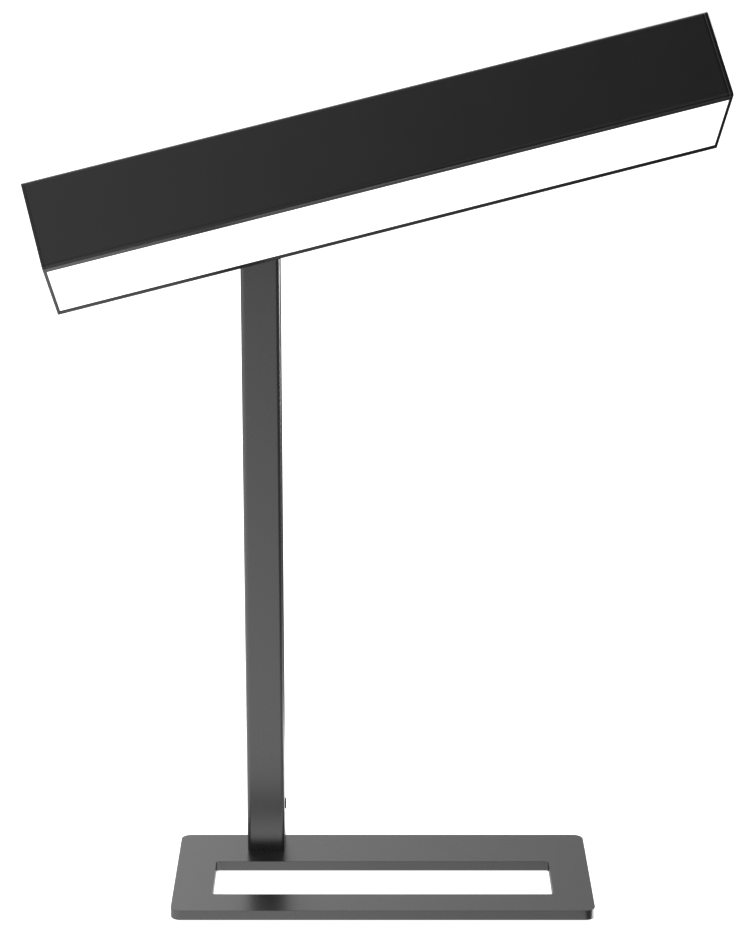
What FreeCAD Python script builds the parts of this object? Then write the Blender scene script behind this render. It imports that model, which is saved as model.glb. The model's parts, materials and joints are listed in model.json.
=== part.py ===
import FreeCAD, Part
import math
import os
import re
import Sketcher

# Light therapy lamp: a slotted steel base, a square column with a power button, and a long
# light head on a tilt and swivel joint behind its rear side. Millimetres and degrees.
# Origin: middle of the base, on the floor. X to the right, Y to the rear, Z up.
# Outside sizes follow the photograph. Sizes of hidden pieces are usual ones for such lamps.
sizeValues = {
    "base_width": 250.0,
    "base_depth": 113.0,
    "base_thick": 6.0,
    "base_corner": 6.0,
    "side_bar": 23.5,
    "front_bar": 23.5,
    "rear_bar": 41.5,
    "slot_corner": 2.0,
    "pad_radius": 6.0,
    "pad_thick": 2.0,
    "pad_stand": 1.0,
    "column_size": 23.0,
    "column_wall": 2.0,
    "column_corner": 2.5,
    "column_x": -71.6,
    "column_y": 43.7,
    "column_height": 373.0,
    "plug_gap": 0.1,
    "screw_gap": 0.05,
    "loose_gap": 0.2,
    "foot_block_height": 14.0,
    "base_screw_radius": 2.0,
    "base_screw_pitch": 10.0,
    "base_screw_head": 4.0,
    "base_screw_head_height": 2.6,
    "base_screw_length": 14.0,
    "counterbore_gap": 0.3,
    "column_screw_radius": 1.5,
    "column_screw_head": 2.8,
    "column_screw_head_height": 1.6,
    "column_screw_length": 7.0,
    "tilt_axis_height": 12.5,
    "tilt_rest": 30.45,
    "roll_rest": 15.0,
    "yoke_plug_height": 16.0,
    "yoke_shoulder": 3.0,
    "ear_radius": 8.5,
    "ear_gap": 14.0,
    "cable_bore": 3.0,
    "pin_radius": 2.5,
    "pin_gap": 0.05,
    "pin_head": 4.5,
    "pin_head_height": 2.2,
    "pin_tail": 4.0,
    "tilt_nut_height": 3.2,
    "tilt_nut_radius": 4.6,
    "tilt_washer_thick": 0.5,
    "tilt_washer_radius": 7.5,
    "barrel_radius": 8.0,
    "neck_radius": 6.5,
    "flange_radius": 11.0,
    "flange_thick": 4.0,
    "head_offset": 17.0,
    "outer_washer_thick": 0.6,
    "outer_washer_radius": 10.5,
    "face_gap": 0.05,
    "spindle_radius": 5.0,
    "spindle_bore": 2.6,
    "spindle_socket": 7.0,
    "spindle_tail": 0.9,
    "stack_slack": 0.2,
    "way_overlap": 1.0,
    "swivel_plate_thick": 2.0,
    "swivel_plate_length": 40.0,
    "swivel_plate_height": 16.0,
    "swivel_plate_corner": 2.0,
    "rivet_radius": 1.6,
    "rivet_head": 2.8,
    "rivet_head_height": 0.9,
    "rivet_inset": 4.0,
    "inner_washer_thick": 0.6,
    "inner_washer_radius": 7.6,
    "spring_washer_thick": 1.0,
    "spring_washer_radius": 7.2,
    "swivel_nut_height": 4.0,
    "swivel_nut_radius": 8.0,
    "head_length": 393.6,
    "head_height": 51.8,
    "head_depth": 83.5,
    "head_wall": 1.5,
    "head_corner": 2.2,
    "swivel_from_left": 125.5,
    "cap_thick": 1.5,
    "lip_width": 5.2,
    "lip_thick": 1.0,
    "diffuser_recess": 0.2,
    "diffuser_thick": 2.0,
    "diffuser_gap": 0.4,
    "sheet_gap": 0.15,
    "ledge_width": 4.0,
    "ledge_thick": 1.3,
    "guide_width": 2.5,
    "guide_thick": 1.2,
    "guide_gap": 0.2,
    "port_radius": 2.6,
    "port_inset": 2.2,
    "cap_screw_radius": 1.25,
    "cap_screw_head": 2.3,
    "cap_screw_head_height": 0.9,
    "cap_screw_length": 9.0,
    "heat_plate_level": 9.5,
    "heat_plate_thick": 2.0,
    "lead_notch": 12.0,
    "tray_sheet": 0.8,
    "tray_lean": 0.96,
    "tray_floor_inset": 20.0,
    "led_board_length": 112.0,
    "led_board_width": 11.0,
    "led_board_thick": 1.2,
    "led_board_pitch": 124.0,
    "led_row_pitch": 18.0,
    "led_size": 3.0,
    "led_thick": 0.7,
    "led_pitch": 22.0,
    "window_gap": 0.8,
    "driver_length": 90.0,
    "driver_width": 46.0,
    "driver_thick": 1.6,
    "driver_left": -16.0,
    "driver_rear": 22.0,
    "driver_inset": 4.0,
    "standoff_height": 3.0,
    "standoff_radius": 2.6,
    "driver_screw_radius": 1.25,
    "driver_hole_gap": 0.1,
    "driver_screw_head": 2.3,
    "driver_screw_head_height": 1.5,
    "coil_radius": 7.0,
    "coil_height": 6.0,
    "capacitor_radius": 4.0,
    "capacitor_height": 7.0,
    "capacitor_pitch": 11.0,
    "connector_length": 10.0,
    "connector_width": 8.0,
    "connector_height": 6.0,
    "lead_radius": 1.5,
    "lead_bend": 3.2,
    "lead_start": 9.4,
    "button_height": 26.5,
    "button_radius": 3.4,
    "button_gap": 0.1,
    "button_stand": 0.88,
    "button_travel": 0.5,
    "button_round": 0.35,
    "button_flange": 4.2,
    "button_flange_thick": 0.8,
    "button_boss": 2.0,
    "button_boss_length": 0.85,
    "plunger_radius": 1.6,
    "plunger_length": 2.2,
    "plunger_gap": 0.1,
    "switch_size": 6.2,
    "switch_depth": 3.4,
    "switch_clear": 0.3,
    "lens_drop": 6.8,
    "lens_radius": 2.0,
    "lens_stand": 0.17,
    "chip_width": 2.0,
    "chip_thick": 0.8,
    "control_board_width": 16.0,
    "control_board_height": 24.0,
    "control_board_thick": 1.2,
    "control_board_low": 15.0,
    "carrier_height": 22.0,
    "carrier_wall": 2.0,
    "inlet_height": 55.0,
    "inlet_radius": 4.0,
    "inlet_depth": 9.0,
    "inlet_flange": 5.6,
    "inlet_flange_thick": 1.5,
    "inlet_bore": 2.75,
    "inlet_bore_depth": 8.0,
    "inlet_pin": 1.0,
    "inlet_nut_radius": 5.6,
    "inlet_nut_height": 2.0,
    "lug_size": 4.0,
    "lug_length": 2.0,
    "thin_lead": 1.0,
    "column_lead": 1.4,
}

doc = FreeCAD.newDocument("light_therapy_lamp")
sheet = doc.addObject("Spreadsheet::Sheet", "Size")
for row, (sizeName, sizeValue) in enumerate(sizeValues.items(), start=1):
    sheet.set("A" + str(row), sizeName)
    sheet.set("B" + str(row), str(sizeValue))
    sheet.setAlias("B" + str(row), sizeName)
doc.recompute()
nodes = []


# Turns an expression written in size names into one that reads the sheet.
def linked(expression):
    def fromSheet(match):
        word = match.group()
        return "Size." + word if word in sizeValues else word
    return re.sub(r"[a-z][a-z_]*", fromSheet, str(expression))


# The number an expression has now.
def number(expression):
    result = sheet.evalExpression(linked(expression))
    return float(getattr(result, "Value", result))


def bindDistance(sketch, kind, geometry, point, expression):
    constraint = Sketcher.Constraint(kind, -1, 1, geometry, point, number(expression))
    index = sketch.addConstraint(constraint)
    sketch.setExpression("Constraints[" + str(index) + "]", linked(expression))


def bindRadius(sketch, geometry, expression):
    index = sketch.addConstraint(Sketcher.Constraint("Radius", geometry, number(expression)))
    sketch.setExpression("Constraints[" + str(index) + "]", linked(expression))


# Circle with its centre and radius tied to sizes.
class Round:
    def __init__(self, x, y, radius):
        self.x = x
        self.y = y
        self.radius = radius

    def draw(self, sketch):
        centre = FreeCAD.Vector(number(self.x), number(self.y), 0)
        circle = Part.Circle(centre, FreeCAD.Vector(0, 0, 1), number(self.radius))
        index = sketch.addGeometry(circle)
        bindDistance(sketch, "DistanceX", index, 3, self.x)
        bindDistance(sketch, "DistanceY", index, 3, self.y)
        bindRadius(sketch, index, self.radius)


# Closed outline of straight edges, each corner tied to sizes.
class Outline:
    def __init__(self, *corners):
        self.corners = corners

    def draw(self, sketch):
        places = [FreeCAD.Vector(number(x), number(y), 0) for x, y in self.corners]
        count = len(places)
        edges = []
        for i in range(count):
            edge = Part.LineSegment(places[i], places[(i + 1) % count])
            edges.append(sketch.addGeometry(edge))
        for i in range(count):
            following = edges[(i + 1) % count]
            sketch.addConstraint(Sketcher.Constraint("Coincident", edges[i], 2, following, 1))
            bindDistance(sketch, "DistanceX", edges[i], 1, self.corners[i][0])
            bindDistance(sketch, "DistanceY", edges[i], 1, self.corners[i][1])


# Rectangle from its middle.
class Block(Outline):
    def __init__(self, x, y, width, height):
        left = "(" + str(x) + ") - (" + str(width) + ") / 2"
        right = "(" + str(x) + ") + (" + str(width) + ") / 2"
        low = "(" + str(y) + ") - (" + str(height) + ") / 2"
        high = "(" + str(y) + ") + (" + str(height) + ") / 2"
        super().__init__((left, low), (right, low), (right, high), (left, high))


# Rectangle from its middle, with round corners.
class SoftBlock:
    def __init__(self, x, y, width, height, corner):
        self.sides = (x, y, width, height)
        self.corner = corner

    def draw(self, sketch):
        x, y, width, height = ["(" + str(side) + ")" for side in self.sides]
        left = x + " - " + width + " / 2"
        right = x + " + " + width + " / 2"
        low = y + " - " + height + " / 2"
        high = y + " + " + height + " / 2"
        x0, x1, y0, y1 = number(left), number(right), number(low), number(high)
        radius = number(self.corner)
        corners = [(x1, y0, 1, -1), (x1, y1, 1, 1), (x0, y1, -1, 1), (x0, y0, -1, -1)]
        centres = [FreeCAD.Vector(cx - sx * radius, cy - sy * radius, 0) for cx, cy, sx, sy in corners]
        ways = [FreeCAD.Vector(0, -1, 0), FreeCAD.Vector(1, 0, 0),
                FreeCAD.Vector(0, 1, 0), FreeCAD.Vector(-1, 0, 0)]
        lines = []
        arcs = []
        for i in range(4):
            start = centres[i - 1] + ways[i] * radius
            finish = centres[i] + ways[i] * radius
            lines.append(sketch.addGeometry(Part.LineSegment(start, finish)))
            circle = Part.Circle(centres[i], FreeCAD.Vector(0, 0, 1), radius)
            first = (i - 1) * math.pi / 2
            arcs.append(sketch.addGeometry(Part.ArcOfCircle(circle, first, first + math.pi / 2)))
        for i in range(4):
            sketch.addConstraint(Sketcher.Constraint("Tangent", lines[i], 2, arcs[i], 1))
            sketch.addConstraint(Sketcher.Constraint("Tangent", arcs[i], 2, lines[(i + 1) % 4], 1))
        for i in range(3):
            sketch.addConstraint(Sketcher.Constraint("Equal", arcs[i], arcs[i + 1]))
        bindRadius(sketch, arcs[0], self.corner)
        for line, kind in zip(lines, ("Horizontal", "Vertical", "Horizontal", "Vertical")):
            sketch.addConstraint(Sketcher.Constraint(kind, line))
        bindDistance(sketch, "DistanceY", lines[0], 1, low)
        bindDistance(sketch, "DistanceX", lines[1], 1, right)
        bindDistance(sketch, "DistanceY", lines[2], 1, high)
        bindDistance(sketch, "DistanceX", lines[3], 1, left)


# Hexagon round a middle point, its corners at the given radius.
class Hexagon(Outline):
    def __init__(self, x, y, radius):
        corners = []
        for i in range(6):
            turn = str(60 * i + 30) + " deg"
            across = "(" + str(x) + ") + (" + str(radius) + ") * cos(" + turn + ")"
            up = "(" + str(y) + ") + (" + str(radius) + ") * sin(" + turn + ")"
            corners.append((across, up))
        super().__init__(*corners)


# A named piece, drawn in its own frame and put in its place.
def piece(label, place=FreeCAD.Placement()):
    body = doc.addObject("PartDesign::Body", label)
    body.Label = label
    body.AllowCompound = True
    body.Placement = place
    nodes.append(body)
    return body


def drawOn(body, plane, start, shapes):
    sketch = body.newObject("Sketcher::SketchObject", body.Label + "_sketch")
    support = [item for item in body.Origin.OriginFeatures if item.Role == plane][0]
    sketch.AttachmentSupport = [(support, "")]
    sketch.MapMode = "FlatFace"
    sketch.setExpression(".AttachmentOffset.Base.z", linked(start))
    for shape in shapes:
        shape.draw(sketch)
    return sketch


# Adds material from a level on a plane, along the plane's own normal.
def add(body, plane, start, length, *shapes):
    sketch = drawOn(body, plane, start, shapes)
    feature = body.newObject("PartDesign::Pad", body.Label + "_pad")
    feature.Profile = sketch
    feature.setExpression("Length", linked(length))
    body.Tip = feature
    return feature


# Cuts material from a level on a plane, along the plane's own normal.
def cut(body, plane, start, length, *shapes):
    doc.recompute()
    before = body.Shape.Volume
    sketch = drawOn(body, plane, start, shapes)
    feature = body.newObject("PartDesign::Pocket", body.Label + "_pocket")
    feature.Profile = sketch
    feature.setExpression("Length", linked(length))
    feature.Reversed = True
    body.Tip = feature
    doc.recompute()
    if body.Shape.Volume > before - 1e-6:
        raise RuntimeError(body.Label + " has a cut that removes nothing")
    return feature


# Levels and places that several pieces share
plateTop = "(pad_stand + base_thick)"
columnTop = "(" + plateTop + " + column_height)"
tiltLevel = "(" + columnTop + " + tilt_axis_height)"
rightFace = "(column_x + column_size / 2)"
rightInner = "(" + rightFace + " - column_wall)"
rearFace = "(column_y + column_size / 2)"
rearInner = "(" + rearFace + " - column_wall)"
innerSize = "(column_size - 2 * column_wall)"
slotY = "((front_bar - rear_bar) / 2)"
slotWidth = "(base_width - 2 * side_bar)"
slotDepth = "(base_depth - front_bar - rear_bar)"
blockTop = "(" + plateTop + " + foot_block_height)"
footScrewLevel = "(" + plateTop + " + foot_block_height / 2)"
yokeScrewLevel = "(" + columnTop + " - yoke_plug_height / 2)"

# The joint's frame sits on the tilt axis, and the head's on its rear side, where the swivel
# axis leaves it. Both lean as in the photograph.
tiltTurn = FreeCAD.Rotation(FreeCAD.Vector(1, 0, 0), -sizeValues["tilt_rest"])
rollTurn = FreeCAD.Rotation(FreeCAD.Vector(0, 1, 0), -sizeValues["roll_rest"])
tiltPoint = FreeCAD.Vector(number("column_x"), number("column_y"), number(tiltLevel))
tiltPlace = FreeCAD.Placement(tiltPoint, tiltTurn)
headPoint = tiltPlace.multVec(FreeCAD.Vector(0, -number("head_offset"), 0))
headPlace = FreeCAD.Placement(headPoint, tiltTurn.multiply(rollTurn))


def makeBase():
    plate = piece("base_plate")
    add(plate, "XY_Plane", "pad_stand", "base_thick",
        SoftBlock("0", "0", "base_width", "base_depth", "base_corner"))
    cut(plate, "XY_Plane", "pad_stand", "base_thick",
        SoftBlock("0", slotY, slotWidth, slotDepth, "slot_corner"))
    padX = "((base_width - side_bar) / 2)"
    padY = "((base_depth - side_bar) / 2)"
    corners = [(sx + padX, sy + padY) for sx in ("", "-") for sy in ("", "-")]
    cut(plate, "XY_Plane", "pad_stand", "pad_thick - pad_stand",
        *[Round(x, y, "pad_radius + screw_gap") for x, y in corners])
    screws = ["column_x - base_screw_pitch / 2", "column_x + base_screw_pitch / 2"]
    cut(plate, "XY_Plane", "pad_stand", "base_thick",
        *[Round(x, "column_y", "base_screw_radius + loose_gap") for x in screws])
    cut(plate, "XY_Plane", "pad_stand", "base_screw_head_height + counterbore_gap",
        *[Round(x, "column_y", "base_screw_head + counterbore_gap") for x in screws])
    pads = piece("foot_pads")
    add(pads, "XY_Plane", "0", "pad_thick", *[Round(x, y, "pad_radius") for x, y in corners])

    headLevel = "(pad_stand + counterbore_gap)"
    bolts = piece("base_screws")
    add(bolts, "XY_Plane", headLevel, "base_screw_head_height",
        *[Round(x, "column_y", "base_screw_head") for x in screws])
    add(bolts, "XY_Plane", headLevel, "base_screw_head_height + base_screw_length",
        *[Round(x, "column_y", "base_screw_radius") for x in screws])
    cut(bolts, "XY_Plane", headLevel, "base_screw_head_height / 2",
        *[Hexagon(x, "column_y", "base_screw_head / 2") for x in screws])

    block = piece("column_foot_block")
    add(block, "XY_Plane", plateTop, "foot_block_height",
        SoftBlock("column_x", "column_y", innerSize + " - 2 * plug_gap", innerSize + " - 2 * plug_gap",
                  "column_corner - column_wall"))
    cut(block, "XY_Plane", plateTop, "foot_block_height",
        *[Round(x, "column_y", "base_screw_radius + screw_gap") for x in screws])
    cut(block, "XZ_Plane", "-" + rearInner, "column_screw_length",
        Round("column_x", footScrewLevel, "column_screw_radius + screw_gap"))


def makeColumn():
    tube = piece("column")
    add(tube, "XY_Plane", plateTop, "column_height",
        SoftBlock("column_x", "column_y", "column_size", "column_size", "column_corner"))
    cut(tube, "XY_Plane", plateTop, "column_height",
        SoftBlock("column_x", "column_y", innerSize, innerSize, "column_corner - column_wall"))
    buttonLevel = "(" + plateTop + " + button_height)"
    cut(tube, "YZ_Plane", rightInner, "column_wall",
        Round("column_y", buttonLevel, "button_radius + button_gap"),
        Round("column_y", buttonLevel + " - lens_drop", "lens_radius + screw_gap"))
    cut(tube, "XZ_Plane", "-" + rearFace, "column_wall",
        Round("column_x", footScrewLevel, "column_screw_radius + screw_gap"),
        Round("column_x", yokeScrewLevel, "column_screw_radius + screw_gap"),
        Round("column_x", plateTop + " + inlet_height", "inlet_radius + screw_gap"))

    screws = piece("column_screws")
    levels = (footScrewLevel, yokeScrewLevel)
    add(screws, "XZ_Plane", "-" + rearFace + " - column_screw_head_height", "column_screw_head_height",
        *[Round("column_x", level, "column_screw_head") for level in levels])
    add(screws, "XZ_Plane", "-" + rearFace + " - column_screw_head_height / 2", "column_screw_length",
        *[Round("column_x", level, "column_screw_radius") for level in levels])
    cut(screws, "XZ_Plane", "-" + rearFace + " - column_screw_head_height", "column_screw_head_height / 2",
        *[Hexagon("column_x", level, "column_screw_radius") for level in levels])

    yoke = piece("yoke")
    add(yoke, "XY_Plane", columnTop + " - yoke_plug_height", "yoke_plug_height",
        SoftBlock("column_x", "column_y", innerSize + " - 2 * plug_gap", innerSize + " - 2 * plug_gap",
                  "column_corner - column_wall"))
    add(yoke, "XY_Plane", columnTop, "yoke_shoulder",
        SoftBlock("column_x", "column_y", "column_size", "column_size", "column_corner"))
    earLeft = "column_x - column_size / 2"
    add(yoke, "YZ_Plane", earLeft, "column_size", Round("column_y", tiltLevel, "ear_radius"))
    middle = "(" + columnTop + " + " + tiltLevel + ") / 2"
    add(yoke, "YZ_Plane", earLeft, "column_size",
        Block("column_y", middle, "2 * ear_radius", "tilt_axis_height"))
    gapHeight = "(tilt_axis_height - yoke_shoulder + ear_radius)"
    cut(yoke, "YZ_Plane", "column_x - ear_gap / 2", "ear_gap",
        Block("column_y", columnTop + " + yoke_shoulder + " + gapHeight + " / 2", "column_size", gapHeight))
    cut(yoke, "XY_Plane", columnTop + " - yoke_plug_height", "yoke_plug_height + yoke_shoulder",
        Round("column_x", "column_y", "cable_bore"))
    cut(yoke, "YZ_Plane", earLeft, "column_size", Round("column_y", tiltLevel, "pin_radius + pin_gap"))
    cut(yoke, "XZ_Plane", "-" + rearInner, "column_wall + cable_bore",
        Round("column_x", yokeScrewLevel, "column_screw_radius + screw_gap"))


def makeTiltJoint():
    pin = piece("tilt_pin")
    pinLeft = "(column_x - column_size / 2)"
    add(pin, "YZ_Plane", pinLeft + " - pin_head_height", "pin_head_height",
        Round("column_y", tiltLevel, "pin_head"))
    add(pin, "YZ_Plane", pinLeft + " - pin_head_height / 2", "column_size + pin_tail + pin_head_height / 2",
        Round("column_y", tiltLevel, "pin_radius"))
    cut(pin, "YZ_Plane", pinLeft + " - pin_head_height", "pin_head_height / 2",
        Hexagon("column_y", tiltLevel, "pin_radius"))
    nut = piece("tilt_nut")
    add(nut, "YZ_Plane", rightFace, "tilt_nut_height",
        Hexagon("column_y", tiltLevel, "tilt_nut_radius"),
        Round("column_y", tiltLevel, "pin_radius + screw_gap"))
    washers = piece("tilt_washers")
    for start in ("column_x - ear_gap / 2", "column_x + ear_gap / 2 - tilt_washer_thick"):
        add(washers, "YZ_Plane", start, "tilt_washer_thick",
            Round("column_y", tiltLevel, "tilt_washer_radius"),
            Round("column_y", tiltLevel, "pin_radius + pin_gap"))

    # The knuckle turns on the pin and carries the swivel spindle, with a cable way beside the pin.
    knuckle = piece("knuckle", tiltPlace)
    width = "(ear_gap - 2 * tilt_washer_thick - 2 * face_gap)"
    flangeFace = "(head_offset - outer_washer_thick - face_gap)"
    add(knuckle, "YZ_Plane", "-" + width + " / 2", width, Round("0", "0", "barrel_radius"))
    add(knuckle, "XZ_Plane", "pin_radius + pin_gap", flangeFace + " - pin_radius - pin_gap",
        Round("0", "0", "neck_radius - face_gap"))
    add(knuckle, "XZ_Plane", flangeFace + " - flange_thick", "flange_thick",
        Round("0", "0", "flange_radius"))
    cut(knuckle, "YZ_Plane", "-ear_gap / 2", "ear_gap", Round("0", "0", "pin_radius + pin_gap"))
    cut(knuckle, "XZ_Plane", flangeFace + " - spindle_socket", "spindle_socket",
        Round("0", "0", "spindle_radius + screw_gap"))
    wayMiddle = "(" + flangeFace + " - spindle_socket - spindle_bore + way_overlap)"
    cut(knuckle, "XY_Plane", "-barrel_radius", "barrel_radius",
        Round("0", "-" + wayMiddle, "spindle_bore - loose_gap"))
    spindle = piece("swivel_spindle", tiltPlace)
    clamped = "outer_washer_thick + head_wall + swivel_plate_thick + inner_washer_thick + spring_washer_thick"
    reach = "(spindle_socket + " + clamped + " + stack_slack + swivel_nut_height + spindle_tail)"
    add(spindle, "XZ_Plane", flangeFace + " - spindle_socket", reach,
        Round("0", "0", "spindle_radius"), Round("0", "0", "spindle_bore"))
    washer = piece("swivel_outer_washer", tiltPlace)
    add(washer, "XZ_Plane", flangeFace, "outer_washer_thick",
        Round("0", "0", "outer_washer_radius"), Round("0", "0", "spindle_radius + screw_gap"))


# The pieces that clamp the head's rear wall, told from the wall's outer face inwards.
def makeSwivelStack():
    plate = piece("swivel_plate", headPlace)
    plateEnds = ["-swivel_plate_length / 2 + rivet_inset", "swivel_plate_length / 2 - rivet_inset"]
    add(plate, "XZ_Plane", "head_wall", "swivel_plate_thick",
        SoftBlock("0", "0", "swivel_plate_length", "swivel_plate_height", "swivel_plate_corner"),
        Round("0", "0", "spindle_radius + screw_gap"),
        *[Round(x, "0", "rivet_radius + screw_gap") for x in plateEnds])
    rivets = piece("swivel_plate_rivets", headPlace)
    inner = "head_wall + swivel_plate_thick"
    add(rivets, "XZ_Plane", "-rivet_head_height", "rivet_head_height",
        *[Round(x, "0", "rivet_head") for x in plateEnds])
    add(rivets, "XZ_Plane", "-rivet_head_height / 2", inner + " + rivet_head_height",
        *[Round(x, "0", "rivet_radius") for x in plateEnds])
    add(rivets, "XZ_Plane", inner, "rivet_head_height", *[Round(x, "0", "rivet_head") for x in plateEnds])

    start = "(head_offset + head_wall + swivel_plate_thick + face_gap)"
    for label, thick, radius in (
            ("swivel_inner_washer", "inner_washer_thick", "inner_washer_radius"),
            ("swivel_spring_washer", "spring_washer_thick", "spring_washer_radius")):
        washer = piece(label, tiltPlace)
        add(washer, "XZ_Plane", start, thick,
            Round("0", "0", radius), Round("0", "0", "spindle_radius + screw_gap"))
        start = "(" + start + " + " + thick + ")"
    nut = piece("swivel_nut", tiltPlace)
    add(nut, "XZ_Plane", start, "swivel_nut_height",
        Hexagon("0", "0", "swivel_nut_radius"), Round("0", "0", "spindle_radius + screw_gap"))


# Head pieces are drawn in the head's frame: X along it, Y to its rear side, Z to its top.
headLeft = "(-swivel_from_left)"
headMiddle = "(head_length / 2 - swivel_from_left)"
shellLeft = "(cap_thick - swivel_from_left)"
shellLength = "(head_length - 2 * cap_thick)"
depthMiddle = "(-head_depth / 2)"
innerDepth = "(head_depth - 2 * head_wall)"
lowEdge = "(-head_height / 2)"
lipTop = "(" + lowEdge + " + lip_thick)"
ledgeLow = "(" + lipTop + " + diffuser_thick)"
ledgeTop = "(" + ledgeLow + " + ledge_thick)"
ceiling = "(head_height / 2 - head_wall)"
plateTopLevel = "(heat_plate_level + heat_plate_thick)"
boardLow = "(" + plateTopLevel + " + standoff_height)"
boardTop = "(" + boardLow + " + driver_thick)"
portY = ["(-head_wall - port_inset)", "(head_wall + port_inset - head_depth)"]
portZ = "(" + ceiling + " - port_inset)"


def makeHeadCase():
    shell = piece("head_shell", headPlace)
    add(shell, "YZ_Plane", shellLeft, shellLength,
        SoftBlock(depthMiddle, "0", "head_depth", "head_height", "head_corner"))
    openHeight = "(" + ceiling + " - " + lowEdge + ")"
    cut(shell, "YZ_Plane", shellLeft, shellLength,
        Block(depthMiddle, lowEdge + " + " + openHeight + " / 2", innerDepth, openHeight))
    for wall, way in (("(-head_wall)", -1), ("(head_wall - head_depth)", 1)):
        ledgeMiddle = wall + " + " + str(way) + " * ledge_width / 2"
        lipMiddle = wall + " + " + str(way) + " * lip_width / 2"
        guideMiddle = wall + " + " + str(way) + " * guide_width / 2"
        add(shell, "YZ_Plane", shellLeft, shellLength,
            Block(lipMiddle, "(" + lowEdge + " + " + lipTop + ") / 2", "lip_width", "lip_thick"))
        add(shell, "YZ_Plane", shellLeft, shellLength,
            Block(ledgeMiddle, "(" + ledgeLow + " + " + ledgeTop + ") / 2", "ledge_width", "ledge_thick"))
        add(shell, "YZ_Plane", shellLeft, shellLength,
            Block(guideMiddle, "heat_plate_level - guide_thick / 2", "guide_width", "guide_thick"))
        add(shell, "YZ_Plane", shellLeft, shellLength,
            Block(guideMiddle, plateTopLevel + " + guide_gap + guide_thick / 2", "guide_width",
                  "guide_thick"))
    add(shell, "YZ_Plane", shellLeft, shellLength, *[Round(y, portZ, "port_radius") for y in portY])
    cut(shell, "YZ_Plane", shellLeft, shellLength,
        *[Round(y, portZ, "cap_screw_radius + screw_gap") for y in portY])
    plateEnds = ["-swivel_plate_length / 2 + rivet_inset", "swivel_plate_length / 2 - rivet_inset"]
    cut(shell, "XZ_Plane", "0", "head_wall", Round("0", "0", "spindle_radius + screw_gap"),
        *[Round(x, "0", "rivet_radius + screw_gap") for x in plateEnds])

    # The screw heads lie flush in the caps.
    screws = piece("end_cap_screws", headPlace)
    rightEnd = headLeft + " + head_length"
    ends = (("end_cap_left", headLeft, headLeft, headLeft + " + cap_screw_head_height / 2"),
            ("end_cap_right", rightEnd + " - cap_thick", rightEnd + " - cap_screw_head_height",
             rightEnd + " - cap_screw_head_height / 2 - cap_screw_length"))
    for label, capStart, headStart, threadStart in ends:
        cap = piece(label, headPlace)
        add(cap, "YZ_Plane", capStart, "cap_thick",
            SoftBlock(depthMiddle, "0", "head_depth", "head_height", "head_corner"),
            *[Round(y, portZ, "cap_screw_radius + loose_gap") for y in portY])
        cut(cap, "YZ_Plane", headStart, "cap_screw_head_height",
            *[Round(y, portZ, "cap_screw_head + screw_gap") for y in portY])
        add(screws, "YZ_Plane", headStart, "cap_screw_head_height",
            *[Round(y, portZ, "cap_screw_head") for y in portY])
        add(screws, "YZ_Plane", threadStart, "cap_screw_length",
            *[Round(y, portZ, "cap_screw_radius") for y in portY])

    # The diffuser's edges lie on the shell's lips. Its middle fills the opening between them.
    sheetLength = shellLength + " - 2 * sheet_gap"
    diffuser = piece("diffuser", headPlace)
    add(diffuser, "XY_Plane", lipTop, "diffuser_thick",
        Block(headMiddle, depthMiddle, sheetLength, innerDepth + " - 2 * sheet_gap"))
    add(diffuser, "XY_Plane", lowEdge + " + diffuser_recess", "lip_thick - diffuser_recess",
        Block(headMiddle, depthMiddle, sheetLength, innerDepth + " - 2 * lip_width - 2 * diffuser_gap"))


def ledBoardPlaces():
    columns = [headMiddle + " + (" + str(i) + ") * led_board_pitch" for i in (-1, 0, 1)]
    rows = [depthMiddle + " + (" + str(i) + ") * led_row_pitch / 2" for i in (-1, 1)]
    return [(x, y) for x in columns for y in rows]


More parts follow.
